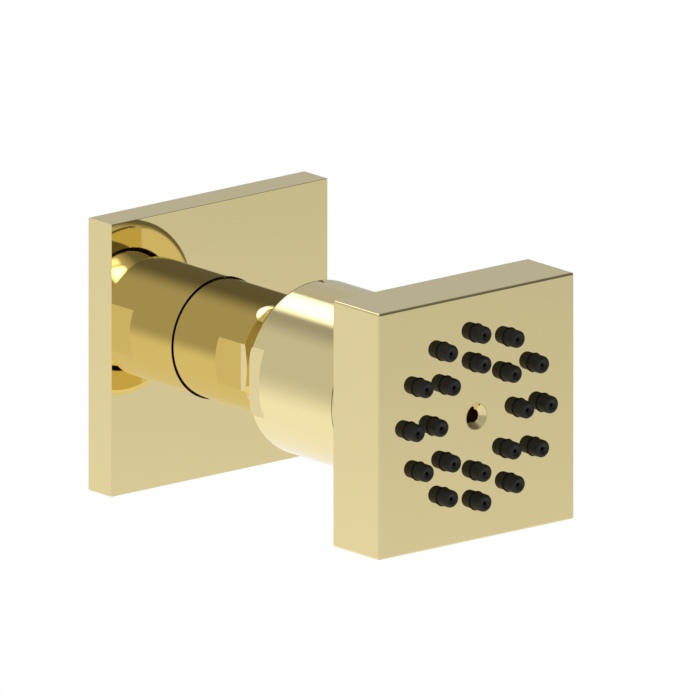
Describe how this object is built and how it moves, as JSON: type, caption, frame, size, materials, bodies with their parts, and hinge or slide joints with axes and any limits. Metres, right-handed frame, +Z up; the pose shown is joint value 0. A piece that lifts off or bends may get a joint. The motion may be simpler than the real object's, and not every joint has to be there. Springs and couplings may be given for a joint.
{
  "type": "shower body jet",
  "caption": "Wall-mounted shower body jet: square spray head with rubber nozzles on a swivel ball joint, round threaded stem and square wall plate, polished pale brass.",
  "frame": {"origin": "centre of the threaded inlet's mouth, on the plane of the finished wall", "axes": "+Z up, +Y into the wall, the spray leaves towards -Y, +X to the right seen from the room's side facing the wall"},
  "size_m": [0.062, 0.0992, 0.062],
  "materials": {
    "polished_brass": "polished",
    "black_silicone": "satin",
    "seal_rubber": "matt",
    "white_plastic": "satin",
    "steel_mesh": "bright"
  },
  "bodies": {
    "stem": {"stem": "polished_brass", "inlet_washer": "seal_rubber", "filter_screen": "steel_mesh", "regulator_body": "white_plastic", "regulator_ring": "seal_rubber"},
    "plate_ring": {"plate_o_ring": "seal_rubber"},
    "wall_plate": {"wall_plate": "polished_brass"},
    "slip_ring": {"slip_ring": "white_plastic"},
    "ball_seat": {"ball_seat": "white_plastic", "seat_o_ring": "seal_rubber"},
    "head": {"thrust_washer": "white_plastic", "collar": "polished_brass", "collar_o_ring": "seal_rubber", "back_cover": "polished_brass", "cover_gasket": "seal_rubber", "head_shell": "polished_brass", "jet_plate": "white_plastic", "nozzle_mat": "black_silicone", "centre_screw": "polished_brass", "screw_seal": "seal_rubber"}
  },
  "joints": [
    {"name": "plate_slide", "type": "slide", "parent": "stem", "child": "plate_ring", "axis": [0, -1, 0], "range_m": [0, 0.015]},
    {"name": "plate_turn", "type": "hinge", "parent": "plate_ring", "child": "wall_plate", "pos_m": [0, -0.0031, 0], "axis": [0, -1, 0], "continuous": true},
    {"name": "head_pan", "type": "hinge", "parent": "stem", "child": "slip_ring", "pos_m": [0, -0.04877, 0], "axis": [0, 0, 1], "range_deg": [-15, 15]},
    {"name": "head_tilt", "type": "hinge", "parent": "slip_ring", "child": "ball_seat", "pos_m": [0, -0.04877, 0], "axis": [1, 0, 0], "range_deg": [-15, 15]},
    {"name": "head_twist", "type": "hinge", "parent": "ball_seat", "child": "head", "pos_m": [0, -0.04877, 0], "axis": [0, -1, 0], "continuous": true}
  ]
}
